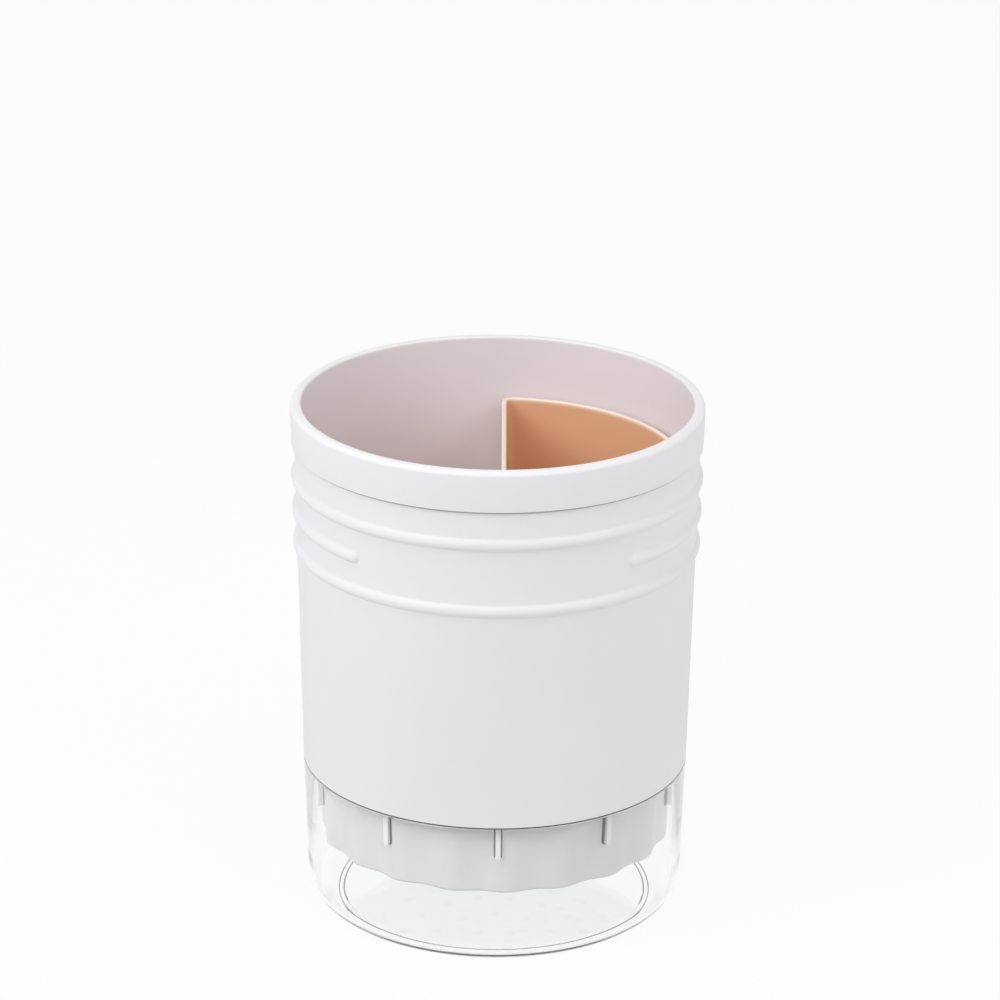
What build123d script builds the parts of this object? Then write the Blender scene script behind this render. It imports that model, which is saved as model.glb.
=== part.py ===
"""Kitchen utensil holder in three mouldings that stack under gravity.

    water_tray    clear round tray that catches the drips
    holder_body   white barrel that stands on the tray's rim, with a fluted skirt inside the tray
    divider_cup   half-round cup that stands on the barrel's inner ledge

Millimetres. +Z is up, the origin is the centre of the tray's underside, -Y is the front,
and the divider cup is on the +X side.
"""
from build123d import *
import os
from math import cos, pi, radians, sin, sqrt, tan

# ---------------------------------------------------------------- water tray
TRAY_RADIUS = 56.55            # outside, at the rim
TRAY_HEIGHT = 45.2
TRAY_DRAFT = 1.9               # degrees, narrower towards the foot
TRAY_WALL = 2.0
TRAY_FLOOR = 3.2               # inside floor, above the table
TRAY_FOOT_ROUND = 8.6          # outside; the inside corner keeps the wall's thickness
TRAY_EDGE_ROUND = 0.4
FOOT_HEIGHT = 1.0              # flat ring that it stands on, below the rounded corner
FOOT_RING_WIDTH = 1.2
RECESS_SLOPE = 0.5             # width of the sloping side of the sunk middle
RECESS_DEPTH = 0.35

# -------------------------------------------------------------- holder barrel
BARREL_HEIGHT = 110.0          # from the shoulder to the rim
BARREL_DRAFT = 1.3             # degrees, wider towards the rim
BARREL_WALL = 2.3
SHOULDER_THICKNESS = 2.2
SHOULDER_EDGE_ROUND = 0.3
LEDGE_ROUND = 0.8              # inside corner between the ledge and the wall
BAND_HEIGHT = 12.0             # thicker band under the rim
BAND_STEP = 0.8                # how far the band's lower edge stands off the wall
BAND_DRAFT = 2.0
RIM_OUTER_ROUND = 1.6
RIM_INNER_ROUND = 0.6

# ----------------------------------------------------- raised beads round the barrel
BEAD_COUNT = 3
BEAD_BELOW_BAND = 10.15        # from the band's lower edge to the first bead's crest
BEAD_PITCH = 10.1
BEAD_PROUD = 1.15
BEAD_SECTION_RADIUS = 1.9
BEAD_FOOT_ROUND = 0.7
BROKEN_BEAD = 1                # this bead, counted from 0 at the top, is open at the front
BEAD_OPENING = 85.5            # degrees
OPENING_TURN = -0.95           # degrees from the front to the middle of the opening

# --------------------------------------------- fluted skirt that hangs inside the tray
SKIRT_DEPTH = 22.0             # below the shoulder
SKIRT_INSET = 2.0              # from the tray's inner wall to the middle of the flutes
SKIRT_DRAFT = 2.9
SKIRT_WALL = 2.0
SKIRT_FOOT_ROUND = 1.2
FLUTE_COUNT = 20
FLUTE_HEIGHT = 0.65            # from the middle of the wave to its crest
FLUTE_TURN = 4.3               # degrees from the front to the first crest
POINTS_PER_FLUTE = 4           # points of the outline for each flute
DRAIN_FLOOR = 2.2

# ----------------------------------------------- upright ribs that centre it in the tray
RIB_COUNT = 10
RIB_HEIGHT = 10.3
RIB_WIDTH = 1.5
RIB_TURN = 1.2                 # degrees from the front to the first rib
RIB_END_ROUND = 0.7
RIB_CLEARANCE = 0.3            # to the tray's inner wall

# ----------------------------------------------------------------- drain holes
HOLE_DIAMETER = 3.2
HOLE_RING_PITCH = 9.5          # from one ring of holes to the next
HOLES_IN_FIRST_RING = 6
HOLE_MARGIN = 6.0              # from a hole's centre to the wall at least

# ----------------------------------------------------------------- divider cup
CUP_BELOW_RIM = 18.0
CUP_GAP = 2.2                  # from its round wall to the barrel's wall, at its rim
CUP_FLAT_OFFSET = 1.2          # its flat wall's outer face, from the barrel's axis, at its rim
CUP_DRAFT = 0.6
CUP_WALL = 1.45
CUP_FLOOR = 1.8
CUP_CORNER_RADIUS = 3.5
CUP_EDGE_ROUND = 0.6
CUP_FOOT_ROUND = 1.0

# ------------------------------------------------------------ heights and radii from these
SHOULDER_Z = TRAY_HEIGHT
LEDGE_Z = SHOULDER_Z + SHOULDER_THICKNESS
RIM_Z = SHOULDER_Z + BARREL_HEIGHT
BAND_Z = RIM_Z - BAND_HEIGHT
SKIRT_Z = SHOULDER_Z - SKIRT_DEPTH
DRAIN_Z = SKIRT_Z + DRAIN_FLOOR
CUP_TOP_Z = RIM_Z - CUP_BELOW_RIM
CUP_FLOOR_Z = LEDGE_Z + CUP_FLOOR
OVERRUN = 5.0                  # how far a cutting tool runs past what it cuts


def tray_outside(z):
    """Outer radius of the tray's wall at height z."""
    return TRAY_RADIUS - (TRAY_HEIGHT - z) * tan(radians(TRAY_DRAFT))


def tray_inside(z):
    """Inner radius of the tray's wall at height z."""
    return tray_outside(z) - TRAY_WALL


def barrel_outside(z):
    """Outer radius of the barrel's plain wall at height z; it starts flush with the tray."""
    return TRAY_RADIUS + (z - SHOULDER_Z) * tan(radians(BARREL_DRAFT))


def barrel_inside(z):
    """Inner radius of the barrel's wall at height z."""
    return barrel_outside(z) - BARREL_WALL


def band_outside(z):
    """Outer radius of the band under the rim at height z."""
    return barrel_outside(BAND_Z) + BAND_STEP + (z - BAND_Z) * tan(radians(BAND_DRAFT))


def skirt_middle(z):
    """Radius of the middle of the flutes, on the outside of the skirt, at height z."""
    return tray_inside(TRAY_HEIGHT) - SKIRT_INSET - (SHOULDER_Z - z) * tan(radians(SKIRT_DRAFT))


def cup_outside(z):
    """Outer radius of the divider cup's round wall at height z."""
    return barrel_inside(CUP_TOP_Z) - CUP_GAP - (CUP_TOP_Z - z) * tan(radians(CUP_DRAFT))


def cup_flat(z):
    """Distance from the axis to the outer face of the cup's flat wall at height z."""
    return CUP_FLAT_OFFSET + (CUP_TOP_Z - z) * tan(radians(CUP_DRAFT))


def turned(corners):
    """A solid of revolution from its section's corners: (radius, z, rounding radius)."""
    section = make_face(Polyline(*[(radius, z) for radius, z, _ in corners], close=True))
    for radius, z, rounding in corners:
        if rounding:
            section = fillet(section.vertices().sort_by_distance((radius, z))[0], rounding)
    return revolve(Plane.XZ * section, Axis.Z)


def fluted_section(z, inset=0.0):
    """The skirt's wavy outline at height z, drawn in by the inset, as a face."""
    points = []
    for step in range(FLUTE_COUNT * POINTS_PER_FLUTE):
        turn = 2 * pi * step / (FLUTE_COUNT * POINTS_PER_FLUTE)
        radius = skirt_middle(z) - inset + FLUTE_HEIGHT * cos(FLUTE_COUNT * turn)
        angle = turn + radians(FLUTE_TURN - 90)
        points.append((radius * cos(angle), radius * sin(angle)))
    return Plane.XY.offset(z) * make_face(Spline(*points, periodic=True))


def half_round_section(z, inset=0.0):
    """The divider cup's D-shaped outline at height z, drawn in by the inset, as a face."""
    radius = cup_outside(z) - inset
    flat = cup_flat(z) + inset
    corner = (flat, sqrt(radius**2 - flat**2))
    round_wall = ThreePointArc((flat, -corner[1]), (radius, 0), corner)
    flat_wall = Line(corner, (flat, -corner[1]))
    outline = make_face(Curve() + [round_wall, flat_wall])
    outline = fillet(outline.vertices(), CUP_CORNER_RADIUS - inset)
    return Plane.XY.offset(z) * outline


def drain_holes(floor_top, thickness, is_clear):
    """Upright drills through a floor, on rings round the axis, wherever is_clear(x, y) holds."""
    places = []
    for ring in range(1, int(barrel_outside(RIM_Z) / HOLE_RING_PITCH)):
        for place in PolarLocations(ring * HOLE_RING_PITCH, ring * HOLES_IN_FIRST_RING):
            if is_clear(place.position.X, place.position.Y):
                places.append(Location((place.position.X, place.position.Y, floor_top - thickness / 2)))
    drill = Cylinder(HOLE_DIAMETER / 2, thickness + 2 * OVERRUN)
    return [place * drill for place in places]


def water_tray():
    """Clear round tray. It stands on a flat ring, and its underside is sunk inside the ring."""
    ring_outer = tray_outside(0) - TRAY_FOOT_ROUND
    ring_inner = ring_outer - FOOT_RING_WIDTH
    return turned([
        (0, RECESS_DEPTH, 0),
        (ring_inner - RECESS_SLOPE, RECESS_DEPTH, 0),
        (ring_inner, 0, 0),
        (ring_outer, 0, 0),
        (ring_outer, FOOT_HEIGHT, 0),
        (tray_outside(FOOT_HEIGHT), FOOT_HEIGHT, TRAY_FOOT_ROUND),
        (tray_outside(TRAY_HEIGHT), TRAY_HEIGHT, TRAY_EDGE_ROUND),
        (tray_inside(TRAY_HEIGHT), TRAY_HEIGHT, TRAY_EDGE_ROUND),
        (tray_inside(TRAY_FLOOR), TRAY_FLOOR, TRAY_FOOT_ROUND - TRAY_WALL - FOOT_HEIGHT),
        (0, TRAY_FLOOR, 0),
    ])


def beads():
    """Raised beads round the barrel. Each is a ring of round section sunk in the wall."""
    rings = []
    for index in range(BEAD_COUNT):
        z = BAND_Z - BEAD_BELOW_BAND - index * BEAD_PITCH
        centre = barrel_outside(z) + BEAD_PROUD - BEAD_SECTION_RADIUS
        if index != BROKEN_BEAD:
            rings.append(Pos(0, 0, z) * Torus(centre, BEAD_SECTION_RADIUS))
            continue
        first_end = OPENING_TURN + BEAD_OPENING / 2 - 90
        section = Plane.XZ * Pos(centre, z) * Circle(BEAD_SECTION_RADIUS)
        part_ring = revolve(section, Axis.Z, 360 - BEAD_OPENING)
        rings.append(Rot(0, 0, first_end) * part_ring)
        for end in (first_end, first_end - BEAD_OPENING):
            rings.append(Rot(0, 0, end) * Pos(centre, 0, z) * Sphere(BEAD_SECTION_RADIUS))
    return rings


def ribs():
    """Short upright ribs under the shoulder. Their outer edges follow the tray's inner wall."""
    low = SHOULDER_Z - RIB_HEIGHT
    high = SHOULDER_Z + SHOULDER_THICKNESS / 2
    inner = skirt_middle(SHOULDER_Z) - SKIRT_WALL / 2
    face = Pos(0, (low + high) / 2) * Rectangle(RIB_WIDTH, high - low)
    face = fillet(face.vertices().sort_by(Axis.Y)[:2], RIB_END_ROUND)
    blade = extrude(Plane.XZ * face, TRAY_RADIUS - inner)
    blade = Pos(0, -inner, 0) * blade
    reach = turned([
        (0, low - OVERRUN, 0),
        (tray_inside(low - OVERRUN) - RIB_CLEARANCE, low - OVERRUN, 0),
        (tray_inside(SHOULDER_Z) - RIB_CLEARANCE, SHOULDER_Z, 0),
        (tray_inside(SHOULDER_Z) - RIB_CLEARANCE, high, 0),
        (0, high, 0),
    ])
    blade = blade & reach
    return [Rot(0, 0, RIB_TURN + 360 * index / RIB_COUNT) * blade for index in range(RIB_COUNT)]


def holder_body():
    """White barrel: plain wall, rim band, beads, shoulder, fluted skirt, ribs and drain floor."""
    outside = turned([
        (0, SHOULDER_Z, 0),
        (barrel_outside(SHOULDER_Z), SHOULDER_Z, SHOULDER_EDGE_ROUND),
        (barrel_outside(BAND_Z), BAND_Z, 0),
        (band_outside(BAND_Z), BAND_Z, 0),
        (band_outside(RIM_Z), RIM_Z, RIM_OUTER_ROUND),
        (0, RIM_Z, 0),
    ])
    rings = beads()
    ringed = outside + rings
    outside = fillet(new_edges(outside, *rings, combined=ringed), BEAD_FOOT_ROUND)
    skirt_top = fluted_section(SHOULDER_Z + SHOULDER_THICKNESS / 2)
    skirt = loft([fluted_section(SKIRT_Z), skirt_top], ruled=True)
    skirt = fillet(skirt.faces().sort_by(Axis.Z)[0].edges(), SKIRT_FOOT_ROUND)
    inside = turned([
        (0, LEDGE_Z, 0),
        (barrel_inside(LEDGE_Z), LEDGE_Z, LEDGE_ROUND),
        (barrel_inside(RIM_Z + OVERRUN), RIM_Z + OVERRUN, 0),
        (0, RIM_Z + OVERRUN, 0),
    ])
    hollow_foot = fluted_section(DRAIN_Z, SKIRT_WALL)
    hollow_top = fluted_section(LEDGE_Z + OVERRUN, SKIRT_WALL)
    barrel = outside + skirt + ribs() - inside - loft([hollow_foot, hollow_top], ruled=True)
    rim_edges = barrel.edges().filter_by_position(Axis.Z, RIM_Z, RIM_Z)
    barrel = fillet(rim_edges.sort_by(SortBy.LENGTH)[0], RIM_INNER_ROUND)
    clear_radius = skirt_middle(DRAIN_Z) - SKIRT_WALL - FLUTE_HEIGHT - HOLE_MARGIN
    return barrel - drain_holes(DRAIN_Z, DRAIN_FLOOR, lambda x, y: x**2 + y**2 <= clear_radius**2)


def divider_cup():
    """Half-round cup on the +X side, open at the top, with a drain floor."""
    cup = loft([half_round_section(LEDGE_Z), half_round_section(CUP_TOP_Z)])
    hollow_foot = half_round_section(CUP_FLOOR_Z, CUP_WALL)
    hollow_top = half_round_section(CUP_TOP_Z + OVERRUN, CUP_WALL)
    cup -= loft([hollow_foot, hollow_top])
    rim_edges = cup.edges().filter_by_position(Axis.Z, CUP_TOP_Z, CUP_TOP_Z)
    cup = fillet(rim_edges, CUP_EDGE_ROUND)
    foot_edges = cup.edges().filter_by_position(Axis.Z, LEDGE_Z, LEDGE_Z)
    cup = fillet(foot_edges, CUP_FOOT_ROUND)
    clear_radius = cup_outside(LEDGE_Z) - CUP_WALL - HOLE_MARGIN
    clear_flat = cup_flat(LEDGE_Z) + CUP_WALL + HOLE_MARGIN

    def is_clear(x, y):
        return x >= clear_flat and x**2 + y**2 <= clear_radius**2

    return cup - drain_holes(CUP_FLOOR_Z, CUP_FLOOR, is_clear)


os.makedirs("parts", exist_ok=True)
for piece in (water_tray, holder_body, divider_cup):
    solid = piece()
    print(piece.__name__, len(solid.solids()), round(solid.volume))
    export_step(solid, f"parts/{piece.__name__}.step")
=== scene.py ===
# %% [markdown]
# # Utensil holder with a clear drip tray
#
# The holder is three plastic mouldings that stack under gravity: a clear round tray, a white
# barrel that stands on the tray's rim and hangs a fluted skirt inside it, and a half-round
# terracotta cup that stands inside the barrel. None of them has a screw, a hinge or a label, so
# the whole look comes from three things: how softly the edges are rounded, how the relief catches
# the light, and how each plastic answers it.
#
# The measured model is loaded first and is never moved. Each dressed piece is made at the same
# place and to the same sizes, and then takes over from its plain node.

# %% Load the measured model
import bpy
from math import atan2, ceil, cos, degrees, pi, radians, sin, sqrt, tan
from mathutils import Matrix, Vector


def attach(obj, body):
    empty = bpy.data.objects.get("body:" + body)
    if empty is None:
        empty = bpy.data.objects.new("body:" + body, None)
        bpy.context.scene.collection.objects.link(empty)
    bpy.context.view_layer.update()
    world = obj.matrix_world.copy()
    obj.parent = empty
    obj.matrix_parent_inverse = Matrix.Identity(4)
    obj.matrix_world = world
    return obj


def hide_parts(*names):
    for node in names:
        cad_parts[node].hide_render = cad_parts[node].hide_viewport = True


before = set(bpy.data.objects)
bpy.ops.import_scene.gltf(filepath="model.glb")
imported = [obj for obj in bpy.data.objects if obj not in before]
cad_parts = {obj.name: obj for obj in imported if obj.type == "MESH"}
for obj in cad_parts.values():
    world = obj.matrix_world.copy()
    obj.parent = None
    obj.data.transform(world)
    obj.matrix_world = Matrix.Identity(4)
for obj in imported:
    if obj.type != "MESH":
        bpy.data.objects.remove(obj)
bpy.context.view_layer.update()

# %% [markdown]
# ## Sizes
#
# A moulded round thing is described by a few radii and heights and by the draft, the small slope
# that lets it leave its mould. They are written here once, in metres, and every height above the
# tray follows from the tray's own, so that the pieces still meet when one of them changes.

# %% Sizes of the tray and the barrel
MM = 0.001

TRAY_RADIUS = 56.55 * MM
TRAY_HEIGHT = 45.2 * MM
TRAY_DRAFT = tan(radians(1.9))
TRAY_WALL = 2.0 * MM
TRAY_FLOOR = 3.2 * MM
TRAY_FOOT_ROUND = 8.6 * MM
TRAY_EDGE_ROUND = 0.4 * MM
FOOT_HEIGHT = 1.0 * MM
FOOT_RING_WIDTH = 1.2 * MM
FOOT_EDGE_ROUND = 0.2 * MM
RECESS_SLOPE = 0.5 * MM
RECESS_DEPTH = 0.35 * MM

BARREL_HEIGHT = 110 * MM
BARREL_DRAFT = tan(radians(1.3))
BARREL_WALL = 2.3 * MM
SHOULDER_THICKNESS = 2.2 * MM
SHOULDER_ROUND = 0.3 * MM
LEDGE_ROUND = 0.8 * MM
BAND_HEIGHT = 12 * MM
BAND_STEP = 0.8 * MM
BAND_DRAFT = tan(radians(2.0))
BAND_EDGE_ROUND = 0.1 * MM
RIM_OUTER_ROUND = 1.6 * MM
RIM_INNER_ROUND = 0.6 * MM

SHOULDER_Z = TRAY_HEIGHT
LEDGE_Z = SHOULDER_Z + SHOULDER_THICKNESS
RIM_Z = SHOULDER_Z + BARREL_HEIGHT
BAND_Z = RIM_Z - BAND_HEIGHT
print(f"rim {RIM_Z / MM:.1f} mm above the table")

# %% Sizes of the relief
BEAD_COUNT = 3
BEAD_BELOW_BAND = 10.15 * MM
BEAD_PITCH = 10.1 * MM
BEAD_PROUD = 1.15 * MM
BEAD_RADIUS = 1.9 * MM
BEAD_FOOT_ROUND = 0.7 * MM
BROKEN_BEAD = 1
BEAD_OPENING = radians(85.5)
OPENING_TURN = radians(-0.95)

SKIRT_DEPTH = 22 * MM
SKIRT_INSET = 2.0 * MM
SKIRT_DRAFT = tan(radians(2.9))
SKIRT_WALL = 2.0 * MM
SKIRT_FOOT_ROUND = 1.2 * MM
FLUTE_COUNT = 20
FLUTE_HEIGHT = 0.65 * MM
FLUTE_TURN = radians(4.3)
DRAIN_FLOOR = 2.2 * MM
SKIRT_Z = SHOULDER_Z - SKIRT_DEPTH
DRAIN_Z = SKIRT_Z + DRAIN_FLOOR

RIB_COUNT = 10
RIB_HEIGHT = 10.3 * MM
RIB_WIDTH = 1.5 * MM
RIB_TURN = radians(1.2)
RIB_END_ROUND = 0.7 * MM
RIB_CLEARANCE = 0.3 * MM

HOLE_RADIUS = 1.6 * MM
HOLE_RING_PITCH = 9.5 * MM
HOLE_MARGIN = 6 * MM
print(f"{FLUTE_COUNT} flutes, {RIB_COUNT} ribs, {BEAD_COUNT} beads")

# %% Sizes of the cup
CUP_BELOW_RIM = 18 * MM
CUP_GAP = 2.2 * MM
CUP_FLAT_OFFSET = 1.2 * MM
CUP_DRAFT = tan(radians(0.6))
CUP_WALL = 1.45 * MM
CUP_FLOOR = 1.8 * MM
CUP_CORNER = 3.5 * MM
CUP_EDGE_ROUND = 0.6 * MM
CUP_FOOT_ROUND = 1.0 * MM
CUP_TOP_Z = RIM_Z - CUP_BELOW_RIM
CUP_FLOOR_Z = LEDGE_Z + CUP_FLOOR
print(f"cup from {LEDGE_Z / MM:.1f} to {CUP_TOP_Z / MM:.1f} mm")


# %% Radii at a height
def tray_outside(z):
    return TRAY_RADIUS - (TRAY_HEIGHT - z) * TRAY_DRAFT


def tray_inside(z):
    return tray_outside(z) - TRAY_WALL


def barrel_outside(z):
    return TRAY_RADIUS + (z - SHOULDER_Z) * BARREL_DRAFT


def barrel_inside(z):
    return barrel_outside(z) - BARREL_WALL


def band_outside(z):
    return barrel_outside(BAND_Z) + BAND_STEP + (z - BAND_Z) * BAND_DRAFT


def skirt_middle(z):
    return tray_inside(TRAY_HEIGHT) - SKIRT_INSET - (SHOULDER_Z - z) * SKIRT_DRAFT


def cup_outside(z):
    return barrel_inside(CUP_TOP_Z) - CUP_GAP - (CUP_TOP_Z - z) * CUP_DRAFT


def cup_flat(z):
    return CUP_FLAT_OFFSET + (CUP_TOP_Z - z) * CUP_DRAFT


ring_outer = tray_outside(0) - TRAY_FOOT_ROUND
ring_inner = ring_outer - FOOT_RING_WIDTH
print(f"rim is {2 * band_outside(RIM_Z) / MM:.1f} mm across")

# %% [markdown]
# ## A small language for nodes
#
# Materials and Geometry Nodes are both graphs of small sums. Drawn by hand they are easy to read,
# but built with one line for each node and each link they are not. So one class wraps a socket
# and turns `+ - * /` into Math nodes, and a `Board` adds every other node with one method.
# After that a rule for a shape reads like the formula that it is.


# %% The socket class and the board
class Value:
    """An output socket. Arithmetic on it adds Math nodes to its tree."""

    def __init__(self, board, socket):
        self.board = board
        self.socket = socket

    def also(self, name):
        """Another output of the same node."""
        return Value(self.board, self.socket.node.outputs[name])

    def __add__(self, other):
        return self.board.math("ADD", self, other)

    def __sub__(self, other):
        return self.board.math("SUBTRACT", self, other)

    def __rsub__(self, other):
        return self.board.math("SUBTRACT", other, self)

    def __mul__(self, other):
        return self.board.math("MULTIPLY", self, other)

    def __truediv__(self, other):
        return self.board.math("DIVIDE", self, other)

    def __pow__(self, other):
        return self.board.math("POWER", self, other)

    __radd__ = __add__
    __rmul__ = __mul__


class Board:
    """Adds nodes to one tree."""

    def __init__(self, tree):
        self.tree = tree

    def add(self, kind, settings=None, sockets=None):
        """A node of this kind. A socket's value is a number, a Value, or a list of Values."""
        node = self.tree.nodes.new(kind)
        for name, value in (settings or {}).items():
            setattr(node, name, value)
        for name, value in (sockets or {}).items():
            for term in value if isinstance(value, list) else [value]:
                if isinstance(term, Value):
                    self.tree.links.new(term.socket, node.inputs[name])
                else:
                    node.inputs[name].default_value = term
        return Value(self, node.outputs[0]) if node.outputs else None

    def math(self, operation, *terms):
        return self.add("ShaderNodeMath", {"operation": operation}, dict(enumerate(terms)))

    def least(self, first, second):
        return self.math("MINIMUM", first, second)

    def below(self, first, second):
        """1 where the first is the smaller, 0 elsewhere."""
        return self.math("LESS_THAN", first, second)


print("node board ready")

# %% [markdown]
# ## The finishes
#
# The barrel is a satin white plastic. Real white is never one number: the mould's spark-eroded
# skin scatters the shine, the pigment settles a little unevenly, and a slow waviness stays from
# the way the plastic froze. Each of these is far weaker than it sounds, because one that can be
# seen from a step away looks like dirt. Noise on Object coordinates gives all three. Nothing is
# stretched, because no unwrapping is involved.
#
# Some light and shade is painted into the white at places on it. The rim is painted paler,
# a painted highlight. The inside is painted paler and lilac, painted bounce light, and the skirt
# is painted a darker greyish pink, painted shade under the shoulder. The ribs' outer faces are
# painted lighter, a painted highlight. And three narrow lines of painted shade are drawn dark:
# under the band, above the seat on the tray, and round the foot of each rib. Masks made from the
# height, the distance from the axis and the angle round it find these places.


# %% Helpers for the finishes
SATIN_IOR = 1.46
SKIN_DEPTH = 0.06 * MM


def new_material(name):
    material = bpy.data.materials.new(name)
    material.use_nodes = True
    material.node_tree.nodes.clear()
    return material, Board(material.node_tree)


def noise(board, scale, detail=2.0, roughness=0.5):
    """Noise from 0 to 1 over the piece, with features of about 1 / scale metres."""
    place = board.add("ShaderNodeTexCoord").also("Object")
    return board.add("ShaderNodeTexNoise", None, {
        "Vector": place, "Scale": scale, "Detail": detail, "Roughness": roughness})


def between(board, factor, first, second):
    """A colour between two colours."""
    mix = board.add("ShaderNodeMix", {"data_type": "RGBA"}, {0: factor, 6: first, 7: second})
    return mix.also(2)


def bump(board, height, distance, strength):
    return board.add("ShaderNodeBump", None, {
        "Height": height, "Distance": distance, "Strength": strength})


def soft_step(board, value, low, high):
    """0 below low, 1 above high, and a soft passage between them."""
    return board.add("ShaderNodeMapRange", {"interpolation_type": "SMOOTHSTEP"}, {
        "Value": value, "From Min": low, "From Max": high})


def place_on_piece(board):
    """The place's x, y and height above the table."""
    place = board.add("ShaderNodeTexCoord").also("Object")
    place = board.add("ShaderNodeSeparateXYZ", None, {"Vector": place})
    return place.also("X"), place.also("Y"), place.also("Z")


def from_axis(board, x, y):
    return board.math("SQRT", x * x + y * y)


def angle_from_front(board, x, y):
    return board.math("ARCTAN2", x, 0 - y)


def satin(board, colour, skin_scale, flow_scale, roughness, gloss):
    """Ends a material with a moulded satin surface of this colour."""
    skin = noise(board, skin_scale, detail=3.0, roughness=0.6)
    flow = noise(board, flow_scale)
    shader = board.add("ShaderNodeBsdfPrincipled", None, {
        "Base Color": colour,
        "Roughness": roughness + flow * 0.08 + skin * 0.06,
        "IOR": SATIN_IOR,
        "Specular IOR Level": gloss,
        "Normal": bump(board, skin * 0.6 + flow * 2.0, SKIN_DEPTH, 0.5)})
    board.add("ShaderNodeOutputMaterial", None, {"Surface": shader})


print(f"moulded skin {SKIN_DEPTH / MM:.2f} mm deep")

# %% Colours, painted highlights and painted shade of the white plastic
WHITE_DEEP, WHITE_PALE = (0.815, 0.81, 0.826, 1), (0.855, 0.85, 0.862, 1)
# Painted highlight: the colour the rim is painted towards its top.
WHITE_RIM_HIGHLIGHT = (0.91, 0.905, 0.915, 1)
# Painted bounce light: the inside is painted paler and lilac.
WHITE_INSIDE_BOUNCE_LIGHT = (0.862, 0.813, 0.862, 1)
# Painted shade: the skirt is painted darker and greyish pink.
WHITE_SKIRT_SHADE = (0.81, 0.79, 0.80, 1)
# Painted highlight: the colour the ribs' outer faces are painted.
WHITE_RIB_FACE_HIGHLIGHT = (0.97, 0.965, 0.955, 1)
# Painted shade: the colour of three narrow dark lines, under the band, at the seat and round the
# ribs.
PAINTED_SHADE_LINE = (0.03, 0.029, 0.029, 1)

RIM_HIGHLIGHT_FROM, RIM_HIGHLIGHT_TO = RIM_Z - 1.4 * MM, RIM_Z - 0.6 * MM
# Widths and strengths of the lines of painted shade.
BAND_SHADE_LINE, BAND_SHADE_STRENGTH = 0.6 * MM, 0.45
SEAT_SHADE_LINE, SEAT_SHADE_STRENGTH = 0.5 * MM, 0.97
SEAT_MARGIN = 0.05 * MM
RIB_SHADE_LINE, RIB_SHADE_STRENGTH = 0.45 * MM, 0.8
RIB_SHADE_HEIGHT = 0.1 * MM
RIB_FACE_DEPTH = 0.3 * MM
SKIRT_SHADE_STRENGTH = 0.5


def rib_highlight_and_shade_masks(board, height, radius, round_front):
    """Two masks: painted highlight on the ribs' outer faces, painted shade round each rib's foot.
    """
    turn = (round_front - RIB_TURN) * RIB_COUNT
    aside = board.math("ARCCOSINE", board.math("COSINE", turn)) / RIB_COUNT * radius
    past_end = board.math("MAXIMUM", SHOULDER_Z - RIB_HEIGHT + RIB_WIDTH / 2 - height, 0)
    away = board.math("SQRT", aside * aside + past_end * past_end)
    face_radius = tray_inside(0) - RIB_CLEARANCE - RIB_FACE_DEPTH + height * TRAY_DRAFT
    foot_radius = skirt_middle(0) + FLUTE_HEIGHT + RIB_SHADE_HEIGHT + height * SKIRT_DRAFT
    face = board.below(face_radius, radius)
    line = board.below(radius, foot_radius) * board.below(away, RIB_WIDTH / 2 + RIB_SHADE_LINE)
    return face, line


print("dark lines", [round(line / MM, 2) for line in (BAND_SHADE_LINE, SEAT_SHADE_LINE, RIB_SHADE_LINE)], "mm")


# %% White satin plastic
def satin_white():
    material, board = new_material("white_satin_plastic")
    x, y, height = place_on_piece(board)
    radius = from_axis(board, x, y)
    colour = between(board, noise(board, 18, detail=3.0), WHITE_DEEP, WHITE_PALE)
    # Painted highlight: the white is painted paler towards the top of the rim.
    rim = soft_step(board, height, RIM_HIGHLIGHT_FROM, RIM_HIGHLIGHT_TO)
    colour = between(board, rim, colour, WHITE_RIM_HIGHLIGHT)
    outside = board.below(barrel_inside(0) + BARREL_WALL / 2 + height * BARREL_DRAFT, radius)
    # Painted bounce light on the inside wall above the ledge.
    inside = board.below(LEDGE_Z, height) * (1 - outside) * (1 - rim)
    colour = between(board, inside, colour, WHITE_INSIDE_BOUNCE_LIGHT)
    on_skirt = board.below(skirt_middle(0) - SKIRT_WALL / 2 + height * SKIRT_DRAFT, radius)
    on_skirt = on_skirt * board.below(height, SHOULDER_Z - SEAT_MARGIN)
    # Painted shade on the skirt under the shoulder.
    colour = between(board, on_skirt * SKIRT_SHADE_STRENGTH, colour, WHITE_SKIRT_SHADE)
    rib_face_highlight, rib_shade_line = rib_highlight_and_shade_masks(board, height, radius, angle_from_front(board, x, y))
    # Painted highlight on the ribs' outer faces.
    colour = between(board, on_skirt * rib_face_highlight, colour, WHITE_RIB_FACE_HIGHLIGHT)
    # Painted shade: narrow dark lines under the band, just above the seat on the tray, and round
    # each rib's foot.
    corner = board.below(BAND_Z - BAND_SHADE_LINE, height)
    corner = corner * board.below(height, BAND_Z + BAND_EDGE_ROUND)
    seat = board.below(SHOULDER_Z - SEAT_MARGIN, height)
    seat = seat * board.below(height, SHOULDER_Z + SEAT_SHADE_LINE)
    line = outside * (corner * BAND_SHADE_STRENGTH + seat * SEAT_SHADE_STRENGTH)
    line = line + on_skirt * rib_shade_line * RIB_SHADE_STRENGTH
    colour = between(board, line, colour, PAINTED_SHADE_LINE)
    satin(board, colour, skin_scale=2600, flow_scale=45, roughness=0.40, gloss=0.42)
    return material


white_plastic = satin_white()
print(white_plastic.name, len(white_plastic.node_tree.nodes), "nodes")

# %% [markdown]
# The cup is the same kind of moulding in terracotta. A coloured plastic shows its pigment more:
# it is a little cloudy. Along its thin rim it is painted paler than on a broad wall, a painted
# highlight that follows the height above the cup's rim rounding.


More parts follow.
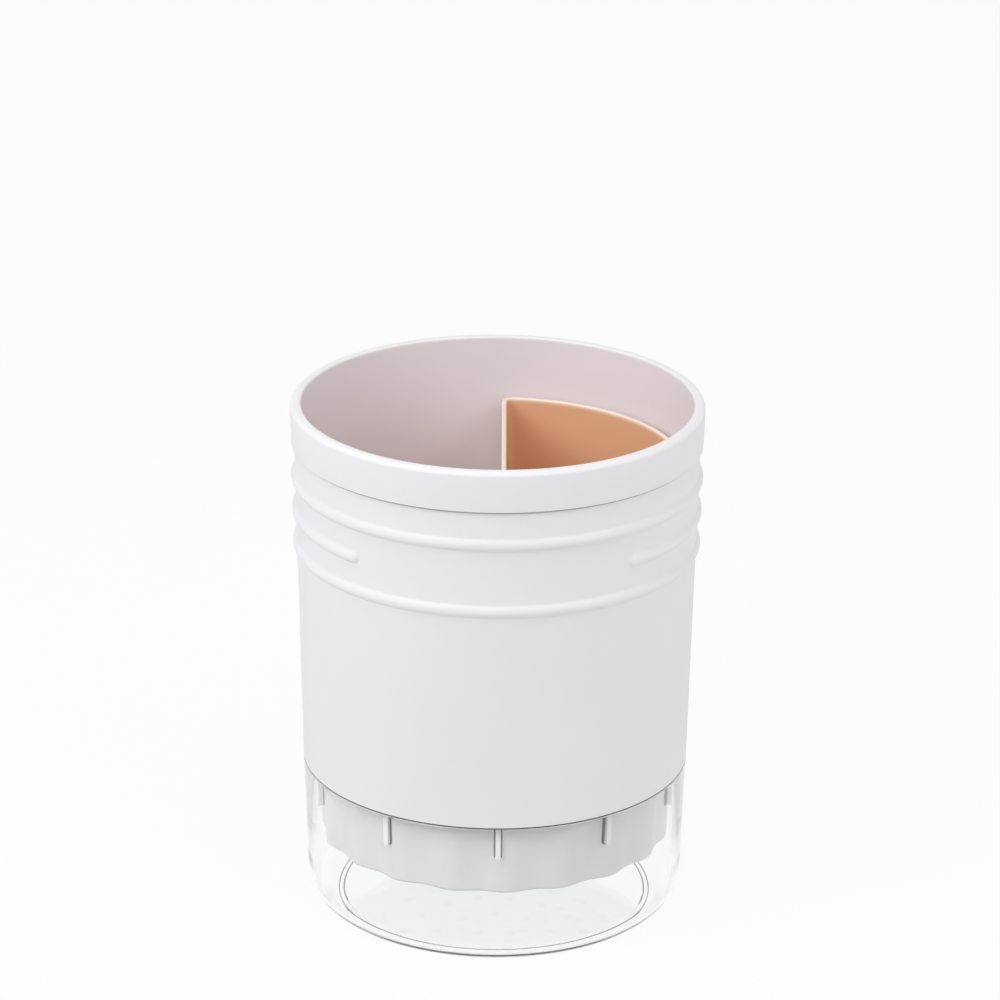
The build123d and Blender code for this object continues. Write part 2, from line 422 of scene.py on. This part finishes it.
# %% Terracotta satin plastic
TERRACOTTA_DEEP, TERRACOTTA_PALE = (0.81, 0.475, 0.278, 1), (0.85, 0.51, 0.31, 1)
# Painted highlight: the colour the cup's rim is painted.
TERRACOTTA_RIM_HIGHLIGHT, TERRACOTTA_HIGHLIGHT_STRENGTH = (0.97, 0.84, 0.71, 1), 0.95
CUP_HIGHLIGHT_FROM, CUP_HIGHLIGHT_TO = CUP_TOP_Z - 1.6 * MM, CUP_TOP_Z - 0.1 * MM


def satin_terracotta():
    material, board = new_material("terracotta_satin_plastic")
    _, _, height = place_on_piece(board)
    cloud = noise(board, 30, detail=3.0, roughness=0.55)
    colour = between(board, cloud, TERRACOTTA_DEEP, TERRACOTTA_PALE)
    # Painted highlight: the cup is painted paler towards its rim.
    rim = soft_step(board, height, CUP_HIGHLIGHT_FROM, CUP_HIGHLIGHT_TO)
    colour = between(board, rim * TERRACOTTA_HIGHLIGHT_STRENGTH, colour, TERRACOTTA_RIM_HIGHLIGHT)
    satin(board, colour, skin_scale=2400, flow_scale=50, roughness=0.44, gloss=0.4)
    return material


terracotta_plastic = satin_terracotta()
print(terracotta_plastic.name, len(terracotta_plastic.node_tree.nodes), "nodes")

# %% [markdown]
# The tray is polished clear plastic. Its look is made almost wholly by refraction, so its shape
# must be right on the inside as well as the outside, with true rounded edges: they are what draws
# the thin dark and bright lines. The upright edge of the foot ring turns light away, and a painted
# dark ring stands in for that darkness so that this line stays crisp.
#
# A path tracer needs two kinds of help with it. It finds no way from a lamp through a refracting
# wall, and leaves too dark a shadow behind it, so for shadow rays the wall is made transparent.
# And light that enters an upright wall almost along it is mirrored to and fro between its faces.
# After four mirrorings the tracer gives up and paints black, where the real wall lets the light
# out, so there it is let out as well.


# %% Clear polished plastic
CLEAR_DEEP, CLEAR_PALE = (0.975, 0.98, 0.985, 1), (0.988, 0.992, 0.995, 1)
CLEAR_PASSING = (0.955, 0.958, 0.96, 1)
FOOT_EDGE_PAINTED_DARK = (0.05, 0.05, 0.05, 1)
CLEAR_IOR = 1.49
CLEAR_ROUGHNESS = 0.03
CLEAR_WAVE_DEPTH = 0.25 * MM
FOOT_LINE = 0.06 * MM
FOOT_LINE_TOP = 1.5 * FOOT_HEIGHT
UPRIGHT_FROM = 1.4 * TRAY_FOOT_ROUND
UPRIGHT_TO = TRAY_HEIGHT - 0.5 * MM
LAST_MIRRORING = 4


def clear_polished():
    material, board = new_material("clear_polished_plastic")
    x, y, height = place_on_piece(board)
    radius = from_axis(board, x, y)
    flow = noise(board, 35, detail=1.5, roughness=0.4)
    smear = noise(board, 220)
    # A painted dark ring on the foot's upright edge, where the real edge bends light away.
    foot_line = board.below(ring_outer - FOOT_LINE, radius)
    foot_line = foot_line * board.below(radius, ring_outer + FOOT_LINE)
    foot_line = foot_line * board.below(height, FOOT_LINE_TOP)
    colour = between(board, flow, CLEAR_DEEP, CLEAR_PALE)
    colour = between(board, foot_line, colour, FOOT_EDGE_PAINTED_DARK)
    clear = board.add("ShaderNodeBsdfPrincipled", None, {
        "Base Color": colour,
        "Roughness": smear * CLEAR_ROUGHNESS,
        "IOR": CLEAR_IOR,
        "Transmission Weight": 1.0,
        "Normal": bump(board, flow, CLEAR_WAVE_DEPTH, 0.25)})
    passing = board.add("ShaderNodeBsdfTransparent", None, {"Color": CLEAR_PASSING})
    ray = board.add("ShaderNodeLightPath")
    upright = board.below(UPRIGHT_FROM, height) * board.below(height, UPRIGHT_TO)
    trapped = board.below(LAST_MIRRORING - 0.5, ray.also("Glossy Depth")) * upright
    passes = board.math("MAXIMUM", ray.also("Is Shadow Ray"), trapped)
    shader = board.add("ShaderNodeMixShader", None, {0: passes, 1: clear, 2: passing})
    board.add("ShaderNodeOutputMaterial", None, {"Surface": shader})
    return material


clear_plastic = clear_polished()
print(clear_plastic.name, len(clear_plastic.node_tree.nodes), "nodes")

# %% [markdown]
# ## Sections with rounded corners
#
# A turned piece is known by its section, half of what a saw cut through the axis would show. It
# could be bevelled after it is turned, but then the roundings depend on what the Bevel modifier
# makes of the mesh. Here the section's own corners are rounded before it is turned, each with its
# own radius, as a draughtsman writes it.


# %% Round the corners of a section
LEAST_STEPS = 3


def rounded(corners, step=11.25):
    """Points along a section. Each corner is (radius, height, rounding); step is in degrees."""
    points = []
    for index, (radius, height, rounding) in enumerate(corners):
        here = Vector((radius, height))
        if not rounding:
            points.append(here)
            continue
        back = (Vector(corners[index - 1][:2]) - here).normalized()
        ahead = (Vector(corners[(index + 1) % len(corners)][:2]) - here).normalized()
        half = back.angle(ahead) / 2
        centre = here + (back + ahead).normalized() * rounding / sin(half)
        start = here + back * rounding / tan(half) - centre
        turn = start.angle_signed(here + ahead * rounding / tan(half) - centre)
        steps = max(LEAST_STEPS, ceil(degrees(abs(turn)) / step))
        for number in range(steps + 1):
            points.append(centre + Matrix.Rotation(-turn * number / steps, 2) @ start)
    return points


def section_object(name, points):
    """An object whose vertices are the section's points, in order, on the XZ plane."""
    mesh = bpy.data.meshes.new(name)
    mesh.from_pydata([(point.x, 0, point.y) for point in points], [], [])
    section = bpy.data.objects.new(name, mesh)
    bpy.context.scene.collection.objects.link(section)
    print(f"{name}: section of {len(points)} points")
    return section


# %% [markdown]
# ## A tree that turns a section
#
# Blender could turn the section with its Screw modifier. Geometry Nodes do it in a way that
# leaves room for relief: a flat grid has one column for each step round the axis and one row for
# each point of the section, and Set Position wraps it into the shell. The radius that it wraps to
# may be any expression of the angle and of the section's point, and that is where flutes and
# beads come in later.


# %% Start a tree and run it
SHARP_FROM = radians(30)


def start_tree(name, sizes):
    """A Geometry Nodes tree with a mesh, a material and one named input for each size."""
    tree = bpy.data.node_groups.new(name, "GeometryNodeTree")
    tree.is_modifier = True
    tree.interface.new_socket("Mesh", in_out="INPUT", socket_type="NodeSocketGeometry")
    for size, value in sizes.items():
        kind = "NodeSocketInt" if isinstance(value, int) else "NodeSocketFloat"
        tree.interface.new_socket(size, in_out="INPUT", socket_type=kind)
    tree.interface.new_socket("Material", in_out="INPUT", socket_type="NodeSocketMaterial")
    tree.interface.new_socket("Mesh", in_out="OUTPUT", socket_type="NodeSocketGeometry")
    board = Board(tree)
    given = board.add("NodeGroupInput")
    return board, given


def end_tree(board, given, mesh):
    """Every tree ends with real faces that carry their material."""
    real = board.add("GeometryNodeRealizeInstances", None, {"Geometry": mesh})
    dressed = board.add("GeometryNodeSetMaterial", None, {
        "Geometry": real, "Material": given.also("Material")})
    board.add("NodeGroupOutput", None, {"Mesh": dressed})


def run_tree(piece, board, sizes, material):
    """Put the tree on the piece, keep what it makes as the piece's own mesh, and take it off."""
    modifier = piece.modifiers.new(board.tree.name, "NODES")
    modifier.node_group = board.tree
    values = dict(sizes, Material=material)
    for item in board.tree.interface.items_tree:
        if item.in_out == "INPUT" and item.name in values:
            modifier[item.identifier] = values[item.name]
    graph = bpy.context.evaluated_depsgraph_get()
    made = bpy.data.meshes.new_from_object(piece.evaluated_get(graph))
    piece.modifiers.remove(modifier)
    piece.data = made
    made.shade_smooth()
    made.set_sharp_from_angle(angle=SHARP_FROM)
    made.calc_loop_triangles()
    print(f"{piece.name}: {len(made.loop_triangles)} triangles")


# %% Turn a section inside a tree
SAME_POINT = 0.001 * MM


def turned_grid(board, section, columns):
    """A grid of one row for each point of the section, and the fields that its wrapping needs."""
    rows = board.add("GeometryNodeAttributeDomainSize", None, {"Geometry": section})
    grid = board.add("GeometryNodeMeshGrid", None, {
        "Vertices X": columns + 1, "Vertices Y": rows})
    index = board.add("GeometryNodeInputIndex")
    column = board.math("FLOOR", (index + 0.5) / rows)
    row = index - column * rows
    point = board.add("GeometryNodeSampleIndex", {"data_type": "FLOAT_VECTOR"}, {
        "Geometry": section, "Value": board.add("GeometryNodeInputPosition"), "Index": row})
    place = board.add("ShaderNodeSeparateXYZ", None, {"Vector": point})
    round_front = column / columns * (2 * pi)
    return grid, round_front, place.also("X"), place.also("Z")


def wrapped(board, grid, round_front, radius, height):
    """The grid wrapped round the axis from the front. Its seam and its poles are closed."""
    angle = round_front - pi / 2
    place = board.add("ShaderNodeCombineXYZ", None, {
        "X": radius * board.math("COSINE", angle),
        "Y": radius * board.math("SINE", angle),
        "Z": height})
    shell = board.add("GeometryNodeSetPosition", None, {"Geometry": grid, "Position": place})
    return board.add("GeometryNodeMergeByDistance", None, {
        "Geometry": shell, "Distance": SAME_POINT})


# %% [markdown]
# ## The tray
#
# A plain turned bowl, but the one piece that can be seen through, so it gets the finest steps:
# a facet on a clear rounding shows as a kink in everything behind it. The underside is sunk in
# the middle and leaves a narrow ring to stand on. That ring and the recess are the two fine
# ellipses seen through the floor.

# %% Make the tray
FINE_STEP = 5
tray = section_object("clear_water_tray", rounded([
    (0, RECESS_DEPTH, 0),
    (ring_inner - RECESS_SLOPE, RECESS_DEPTH, FOOT_EDGE_ROUND),
    (ring_inner, 0, FOOT_EDGE_ROUND),
    (ring_outer, 0, FOOT_EDGE_ROUND),
    (ring_outer, FOOT_HEIGHT, FOOT_EDGE_ROUND),
    (tray_outside(FOOT_HEIGHT), FOOT_HEIGHT, TRAY_FOOT_ROUND),
    (tray_outside(TRAY_HEIGHT), TRAY_HEIGHT, TRAY_EDGE_ROUND),
    (tray_inside(TRAY_HEIGHT), TRAY_HEIGHT, TRAY_EDGE_ROUND),
    (tray_inside(TRAY_FLOOR), TRAY_FLOOR, TRAY_FOOT_ROUND - TRAY_WALL - FOOT_HEIGHT),
    (0, TRAY_FLOOR, 0)], step=FINE_STEP))

tray_sizes = {"Columns": 600}
board, given = start_tree("turn_the_tray", tray_sizes)
grid, round_front, radius, height = turned_grid(board, given.also("Mesh"), given.also("Columns"))
end_tree(board, given, wrapped(board, grid, round_front, radius, height))
run_tree(tray, board, tray_sizes, clear_plastic)

# %% [markdown]
# ## The barrel's relief as a rule
#
# Two things repeat round the barrel. The skirt is a cosine wave of twenty flutes, inside and
# outside alike. The beads are a round section sunk in the wall, with a fillet at the foot: seen
# as a height over the wall, that is a function of the distance from the bead's middle line and
# nothing else. The bead that is broken at the front needs no case of its own: inside its opening
# the distance is measured to the bead's end, and a round end follows by itself.


# %% Height of a bead over the wall
def bead_relief(board, given, height, round_front, radius):
    """How far the wall stands out, from the distance to the nearest bead's middle line."""
    proud = given.also("Bead proud")
    opening = given.also("Bead opening")
    from_middle = board.math("ARCCOSINE", board.math("COSINE", round_front - OPENING_TURN))
    past_end = board.math("MAXIMUM", opening / 2 - from_middle, 0) * radius
    nearest = None
    for number in range(BEAD_COUNT):
        up = height - (BAND_Z - BEAD_BELOW_BAND - number * BEAD_PITCH)
        if number == BROKEN_BEAD:
            away = board.math("SQRT", up * up + past_end * past_end)
        else:
            away = board.math("ABSOLUTE", up)
        nearest = away if nearest is None else board.least(nearest, away)
    section, foot = BEAD_RADIUS, BEAD_FOOT_ROUND
    reach = board.math("SQRT", (section + foot) ** 2 - (foot + section - proud) ** 2)
    meeting = reach * (section / (section + foot))
    crest = board.math("SQRT", board.math("MAXIMUM", section ** 2 - nearest * nearest, 0))
    crest = crest - section + proud
    aside = reach - nearest
    fillet = foot - board.math("SQRT", board.math("MAXIMUM", foot ** 2 - aside * aside, 0))
    on_crest = board.below(nearest, meeting)
    on_fillet = board.below(nearest, reach) - on_crest
    return crest * on_crest + fillet * on_fillet


def flute_relief(board, given, round_front):
    """The cosine wave of the skirt."""
    turn = (round_front - FLUTE_TURN) * given.also("Flutes")
    return given.also("Flute height") * board.math("COSINE", turn)


# %% [markdown]
# The ribs and the drain holes are countable things, so they are instances. One rib is a rounded
# tab, filled, pushed out to a blade, and trimmed to the tray's sloping wall. The drills stand on
# rings that hold 6, 12, 18 ... holes. Ring and place within the ring both follow from a hole's
# number, because the rings before ring k hold 3k(k - 1) holes in all. The first hole of a ring
# falls exactly on a whole number, so a trace is added, or rounding might put it a ring too low.


# %% Ribs as instances
RIB_ROOT = 0.8 * SKIRT_WALL
RIB_END_STEPS = 6


def ribs(board, given):
    """Upright blades round the skirt, one for each place on a circle."""
    low, high = SHOULDER_Z - RIB_HEIGHT, SHOULDER_Z + SHOULDER_THICKNESS / 2
    inner = skirt_middle(SHOULDER_Z) - RIB_ROOT
    tab = board.add("GeometryNodeCurvePrimitiveQuadrilateral", None, {
        "Width": RIB_WIDTH, "Height": high - low})
    tab = board.add("GeometryNodeFilletCurve", {"mode": "POLY"}, {
        "Curve": tab, "Radius": RIB_END_ROUND, "Count": RIB_END_STEPS})
    back = board.add("GeometryNodeFillCurve", {"mode": "NGONS"}, {"Curve": tab})
    front = board.add("GeometryNodeExtrudeMesh", None, {
        "Mesh": back, "Offset Scale": TRAY_RADIUS - inner, "Individual": False})
    lid = board.add("GeometryNodeFlipFaces", None, {"Mesh": back})
    blade = board.add("GeometryNodeJoinGeometry", None, {"Geometry": [front, lid]})
    blade = board.add("GeometryNodeMergeByDistance", None, {
        "Geometry": blade, "Distance": SAME_POINT})
    blade = board.add("GeometryNodeTransform", None, {
        "Geometry": blade,
        "Rotation": (pi / 2, 0, 0),
        "Translation": (0, -inner, (low + high) / 2)})
    place = board.add("ShaderNodeSeparateXYZ", None, {
        "Vector": board.add("GeometryNodeInputPosition")})
    trim = tray_inside(0) - RIB_CLEARANCE + board.least(place.also("Z"), SHOULDER_Z) * TRAY_DRAFT
    reach = board.math("MAXIMUM", place.also("Y"), 0 - trim)
    trimmed = board.add("ShaderNodeCombineXYZ", None, {
        "X": place.also("X"), "Y": reach, "Z": place.also("Z")})
    blade = board.add("GeometryNodeSetPosition", None, {"Geometry": blade, "Position": trimmed})
    places = board.add("GeometryNodePoints", None, {"Count": given.also("Ribs")})
    turn = board.add("GeometryNodeInputIndex") / given.also("Ribs") * (2 * pi) + RIB_TURN
    turn = board.add("ShaderNodeCombineXYZ", None, {"Z": turn})
    return board.add("GeometryNodeInstanceOnPoints", None, {
        "Points": places, "Instance": blade, "Rotation": turn})


# %% Drain holes as instances
DRILL_SIDES = 28
DRILL_LENGTH = 8 * MM
JUST_OVER_ONE = 1.0001


def drills(board, given, floor_middle, is_clear):
    """Upright drills on rings round the axis, wherever is_clear(x, y) is 1."""
    points = board.add("GeometryNodePoints", None, {"Count": given.also("Hole places")})
    number = board.add("GeometryNodeInputIndex")
    root = board.math("SQRT", 1 + number * (4 / 3))
    ring = board.math("FLOOR", (JUST_OVER_ONE + root) / 2)
    within = number - 3 * ring * (ring - 1)
    angle = within / (6 * ring) * (2 * pi)
    x = ring * HOLE_RING_PITCH * board.math("COSINE", angle)
    y = ring * HOLE_RING_PITCH * board.math("SINE", angle)
    place = board.add("ShaderNodeCombineXYZ", None, {"X": x, "Y": y, "Z": floor_middle})
    points = board.add("GeometryNodeSetPosition", None, {"Geometry": points, "Position": place})
    place = board.add("ShaderNodeSeparateXYZ", None, {
        "Vector": board.add("GeometryNodeInputPosition")})
    blocked = 1 - is_clear(place.also("X"), place.also("Y"))
    points = board.add("GeometryNodeDeleteGeometry", {"domain": "POINT"}, {
        "Geometry": points, "Selection": blocked})
    drill = board.add("GeometryNodeMeshCylinder", None, {
        "Vertices": DRILL_SIDES, "Radius": given.also("Hole radius"), "Depth": DRILL_LENGTH})
    return board.add("GeometryNodeInstanceOnPoints", None, {
        "Points": points, "Instance": drill})


def places_within(radius):
    """How many places the rings within this radius have."""
    rings = int(radius / HOLE_RING_PITCH)
    return 3 * rings * (rings + 1)


def joined(board, operation, first, others):
    """Boolean of closed shells. The manifold solver is quick, and exact enough for these."""
    sockets = {"Mesh 2": others} if first is None else {"Mesh 1": first, "Mesh 2": others}
    return board.add("GeometryNodeMeshBoolean", {
        "operation": operation, "solver": "MANIFOLD"}, sockets)


# %% [markdown]
# ## The barrel
#
# The section runs from the middle of the drain floor's underside, up the outside, over the rim
# and down the inside. The rows stand close together where a bead may rise, and nowhere else.
# The radius then takes the beads on its outer wall and the flutes on the skirt. The points in the
# middle of the floor stay where they are, or the flutes would pull them apart.

# %% Section of the barrel
BEAD_ROWS = 17
BEAD_ROWS_SPREAD = 1.02
bead_reach = sqrt((BEAD_RADIUS + BEAD_FOOT_ROUND) ** 2
                  - (BEAD_FOOT_ROUND + BEAD_RADIUS - BEAD_PROUD) ** 2)
bead_rows = []
for number in reversed(range(BEAD_COUNT)):
    middle = BAND_Z - BEAD_BELOW_BAND - number * BEAD_PITCH
    for step in range(BEAD_ROWS):
        z = middle + bead_reach * BEAD_ROWS_SPREAD * (2 * step / (BEAD_ROWS - 1) - 1)
        bead_rows.append((barrel_outside(z), z, 0))

barrel = section_object("white_holder_body", rounded([
    (0, SKIRT_Z, 0),
    (skirt_middle(SKIRT_Z), SKIRT_Z, SKIRT_FOOT_ROUND),
    (skirt_middle(SHOULDER_Z), SHOULDER_Z, 0),
    (barrel_outside(SHOULDER_Z), SHOULDER_Z, SHOULDER_ROUND),
    *bead_rows,
    (barrel_outside(BAND_Z), BAND_Z, 0),
    (band_outside(BAND_Z), BAND_Z, BAND_EDGE_ROUND),
    (band_outside(RIM_Z), RIM_Z, RIM_OUTER_ROUND),
    (barrel_inside(RIM_Z), RIM_Z, RIM_INNER_ROUND),
    (barrel_inside(LEDGE_Z), LEDGE_Z, LEDGE_ROUND),
    (skirt_middle(LEDGE_Z) - SKIRT_WALL, LEDGE_Z, 0),
    (skirt_middle(DRAIN_Z) - SKIRT_WALL, DRAIN_Z, 0),
    (0, DRAIN_Z, 0)]))

# %% Tree of the barrel
MIDDLE_POINTS = 1 * MM
SKIRT_REACH = skirt_middle(SHOULDER_Z) + 0.5 * MM

drain_radius = skirt_middle(DRAIN_Z) - SKIRT_WALL - FLUTE_HEIGHT - HOLE_MARGIN
barrel_sizes = {
    "Columns": 720,
    "Flutes": FLUTE_COUNT,
    "Flute height": FLUTE_HEIGHT,
    "Bead proud": BEAD_PROUD,
    "Bead opening": BEAD_OPENING,
    "Ribs": RIB_COUNT,
    "Hole radius": HOLE_RADIUS,
    "Hole places": places_within(drain_radius)}
board, given = start_tree("mould_the_barrel", barrel_sizes)
grid, round_front, radius, height = turned_grid(board, given.also("Mesh"), given.also("Columns"))
on_skirt = board.below(MIDDLE_POINTS, radius) * board.below(radius, SKIRT_REACH)
on_outer_wall = board.below(barrel_outside(SHOULDER_Z), radius) * board.below(height, BAND_Z)
beads = bead_relief(board, given, height, round_front, radius) * on_outer_wall
flutes = flute_relief(board, given, round_front) * on_skirt
shell = wrapped(board, grid, round_front, radius + beads + flutes, height)


def over_drain(x, y):
    return board.below(x * x + y * y, drain_radius ** 2)


moulding = joined(board, "UNION", None, [shell, ribs(board, given)])
holes = drills(board, given, (SKIRT_Z + DRAIN_Z) / 2, over_drain)
end_tree(board, given, joined(board, "DIFFERENCE", moulding, [holes]))
run_tree(barrel, board, barrel_sizes, white_plastic)

# %% [markdown]
# ## The divider cup
#
# Its outline is a D: an arc that follows the barrel's wall, a flat wall, and two rounded corners.
# Because of the draft no two levels have the same outline, so the outline is a function of the
# height and of how far it is drawn in, and the shell is a stack of such outlines: up the outside,
# over the rounded rim, down the inside, and across both floors to a middle point.


# %% Outline of the cup
CORNER_STEPS = 14
ARC_STEPS = 150
FLAT_STEPS = 24
LEVEL_STEP = 9


def half_round(z, inset, corner):
    """Points round the D at height z, drawn in by the inset, anticlockwise from a corner."""
    radius = cup_outside(z) - inset
    flat = cup_flat(z) + inset
    middle = Vector((flat + corner, sqrt((radius - corner) ** 2 - (flat + corner) ** 2)))
    meet = atan2(middle.y, middle.x)
    outline = []
    for step in range(ARC_STEPS + 1):
        angle = -meet + 2 * meet * step / ARC_STEPS
        outline.append(Vector((radius * cos(angle), radius * sin(angle))))
    for step in range(1, CORNER_STEPS + 1):
        angle = meet + (pi - meet) * step / CORNER_STEPS
        outline.append(middle + corner * Vector((cos(angle), sin(angle))))
    for step in range(1, FLAT_STEPS):
        outline.append(Vector((flat, middle.y * (1 - 2 * step / FLAT_STEPS))))
    for step in range(CORNER_STEPS):
        angle = pi + (pi - meet) * step / CORNER_STEPS
        outline.append(Vector((middle.x, -middle.y)) + corner * Vector((cos(angle), sin(angle))))
    return outline


# %% Shell of the cup
def cup_levels():
    """(height, how far drawn in) up the outside, over the rim and down the inside."""
    levels = rounded([
        (2 * CUP_WALL, LEDGE_Z, 0),
        (0, LEDGE_Z, CUP_FOOT_ROUND),
        (0, CUP_TOP_Z, CUP_EDGE_ROUND),
        (CUP_WALL, CUP_TOP_Z, CUP_EDGE_ROUND),
        (CUP_WALL, CUP_FLOOR_Z, CUP_EDGE_ROUND),
        (2 * CUP_WALL, CUP_FLOOR_Z, 0)], step=LEVEL_STEP)
    return [(point.y, point.x) for point in levels]


vertices, faces = [], []
for z, inset in cup_levels():
    vertices += [(x, y, z) for x, y in half_round(z, inset, CUP_CORNER - inset)]
around = ARC_STEPS + 2 * CORNER_STEPS + FLAT_STEPS
levels = len(vertices) // around
for level in range(levels - 1):
    for step in range(around):
        here, there = level * around + step, level * around + (step + 1) % around
        faces.append((here, there, there + around, here + around))
faces.append(tuple(reversed(range(around))))
faces.append(tuple(range((levels - 1) * around, levels * around)))
cup_mesh = bpy.data.meshes.new("terracotta_divider_cup")
cup_mesh.from_pydata(vertices, [], faces)
cup = bpy.data.objects.new("terracotta_divider_cup", cup_mesh)
bpy.context.scene.collection.objects.link(cup)
print(f"cup: {levels} levels of {around} points")

# %% Drill the cup's floor
cup_clear_radius = cup_outside(LEDGE_Z) - CUP_WALL - HOLE_MARGIN
cup_clear_flat = cup_flat(LEDGE_Z) + CUP_WALL + HOLE_MARGIN
cup_sizes = {"Hole radius": HOLE_RADIUS, "Hole places": places_within(cup_clear_radius)}
board, given = start_tree("drill_the_cup", cup_sizes)


def over_cup_floor(x, y):
    return board.below(x * x + y * y, cup_clear_radius ** 2) * board.below(cup_clear_flat, x)


holes = drills(board, given, (LEDGE_Z + CUP_FLOOR_Z) / 2, over_cup_floor)
end_tree(board, given, joined(board, "DIFFERENCE", given.also("Mesh"), [holes]))
run_tree(cup, board, cup_sizes, terracotta_plastic)

# %% [markdown]
# ## The pieces take over from their nodes
#
# Each dressed piece rides on the body that carries it, so that the barrel still lifts off the
# tray and the cup out of the barrel.

# %% Hand over
for piece, body, node, slot in (
        (tray, "tray", "water_tray", "clear_plastic"),
        (barrel, "barrel", "holder_body", "white_plastic"),
        (cup, "divider", "divider_cup", "terracotta_plastic")):
    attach(piece, body)
    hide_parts(node)
    print(piece.name, "rides on", body)

# %% [markdown]
# ## Camera
#
# A product picture is taken from far away with a long lens, so that the rim and the foot keep
# nearly the same ellipse. The camera stands 1.3 m off and looks about 21 degrees down.

# %% Place the camera
CAMERA_BACK = 1.31848
CAMERA_ABOVE_RIM = 0.470865
SENSOR, LENS = 36, 174.796
LOOK_DOWN, LOOK_ASIDE, TILT = 0.363515, -0.000673, 0.0083725

camera_data = bpy.data.cameras.new("camera")
camera_data.sensor_width = SENSOR
camera_data.lens = LENS
camera = bpy.data.objects.new("camera", camera_data)
bpy.context.scene.collection.objects.link(camera)
turn = (Matrix.Rotation(TILT, 3, "Z") @ Matrix.Rotation(LOOK_DOWN, 3, "X")
        @ Matrix.Rotation(LOOK_ASIDE, 3, "Y"))
turn = turn @ Matrix(((1, 0, 0), (0, 0, -1), (0, 1, 0)))
camera.matrix_world = Matrix((
    (turn[0][0], -turn[1][0], -turn[2][0], 0),
    (turn[0][1], -turn[1][1], -turn[2][1], -CAMERA_BACK),
    (turn[0][2], -turn[1][2], -turn[2][2], RIM_Z + CAMERA_ABOVE_RIM),
    (0, 0, 0, 1)))
bpy.context.scene.camera = camera
print("camera", [round(degrees(angle), 2) for angle in camera.matrix_world.to_euler()])

# %% [markdown]
# ## Floor, lamps and surroundings
#
# White plastic on white is the hardest thing to light: the shape is only seen in shades of pale
# grey. Five soft boxes give them, the strongest of them at the upper left, and the surroundings
# fill the rest. For the camera the background is plain white, whatever lights the object. A clear
# piece needs something dark around it as well, or its edges vanish, so what it bends and mirrors
# is white behind and below, and dark towards the front. Light that has already left a matt
# surface meets no such darkness, so that the white plastic behind the clear wall stays white.


# %% Floor
FLOOR_DEEP, FLOOR_PALE = (0.86, 0.86, 0.86, 1), (0.88, 0.88, 0.88, 1)
PLAIN_WHITE = (1, 1, 1, 1)
PLAIN_SHARE = 0.93
FLOOR_REACH = 4.0
FLOOR_DROP = 0.2 * MM


def pale_floor():
    """White where it is seen, straight or through something clear. The rest keeps the shadow."""
    material, board = new_material("pale_floor")
    ray = board.add("ShaderNodeLightPath")
    seen = board.math("MAXIMUM", ray, board.math("MAXIMUM", ray.also("Is Glossy Ray"),
                                                 ray.also("Is Transmission Ray")))
    grain = noise(board, 6)
    matt = board.add("ShaderNodeBsdfDiffuse", None, {
        "Color": between(board, grain, FLOOR_DEEP, FLOOR_PALE)})
    plain = board.add("ShaderNodeEmission", None, {"Color": PLAIN_WHITE, "Strength": 1.0})
    shader = board.add("ShaderNodeMixShader", None, {0: seen * PLAIN_SHARE, 1: matt, 2: plain})
    board.add("ShaderNodeOutputMaterial", None, {"Surface": shader})
    return material


floor_mesh = bpy.data.meshes.new("floor")
floor_mesh.from_pydata(
    [(-FLOOR_REACH, -FLOOR_REACH, 0), (FLOOR_REACH, -FLOOR_REACH, 0),
     (FLOOR_REACH, FLOOR_REACH, 0), (-FLOOR_REACH, FLOOR_REACH, 0)], [], [(0, 1, 2, 3)])
floor_mesh.materials.append(pale_floor())
floor = bpy.data.objects.new("floor", floor_mesh)
bpy.context.scene.collection.objects.link(floor)
floor.location = (0, 0, -FLOOR_DROP)
print("floor laid")

# %% Surroundings
AMBIENT = (0.39, 0.39, 0.395, 1)
DARK_FRONT = (0.03, 0.03, 0.033, 1)
DARK_FROM, WHITE_FROM = -0.3, 0.3

world = bpy.data.worlds.new("surroundings")
bpy.context.scene.world = world
world.use_nodes = True
world.node_tree.nodes.clear()
board = Board(world.node_tree)
ray = board.add("ShaderNodeLightPath")
direction = board.add("ShaderNodeSeparateXYZ", None, {
    "Vector": board.add("ShaderNodeTexCoord").also("Generated")})
behind = soft_step(board, direction.also("Y"), DARK_FROM, WHITE_FROM)
bent_colour = between(board, behind, DARK_FRONT, PLAIN_WHITE)
bent = board.math("MAXIMUM", ray.also("Is Glossy Ray"), ray.also("Is Transmission Ray"))
still_bent = bent * board.below(ray.also("Diffuse Depth"), 0.5)
lighting = between(board, still_bent, AMBIENT, bent_colour)
shown = between(board, ray, lighting, PLAIN_WHITE)
back = board.add("ShaderNodeBackground", None, {"Color": shown, "Strength": 1.0})
board.add("ShaderNodeOutputWorld", None, {"Surface": back})
print("surroundings", len(world.node_tree.nodes), "nodes")


# %% Lamps
LAMP_SIZE = 0.7
LAMP_AIM = Vector((0, 0, 0.09))


def soft_box(name, place, power):
    """A square lamp at place, facing the holder."""
    data = bpy.data.lights.new(name, "AREA")
    data.size = LAMP_SIZE
    data.energy = power
    lamp = bpy.data.objects.new(name, data)
    bpy.context.scene.collection.objects.link(lamp)
    lamp.location = place
    lamp.rotation_euler = (LAMP_AIM - Vector(place)).to_track_quat("-Z", "Y").to_euler()
    print(f"{name}: {power} W")


soft_box("left_front", (-0.75, -0.70, 0.95), 6.4)
soft_box("right_front", (0.75, -0.70, 0.95), 2.9)
soft_box("above", (0, -0.45, 1.25), 2.4)
soft_box("left_side", (-1.0, 0, 0.6), 1.8)
soft_box("right_side", (1.0, -0.1, 0.25), 1.9)

# %% [markdown]
# ## Last lines
#
# The standard view transform shows a colour as it was written.

# %% Finish
bpy.context.scene.view_settings.view_transform = "Standard"
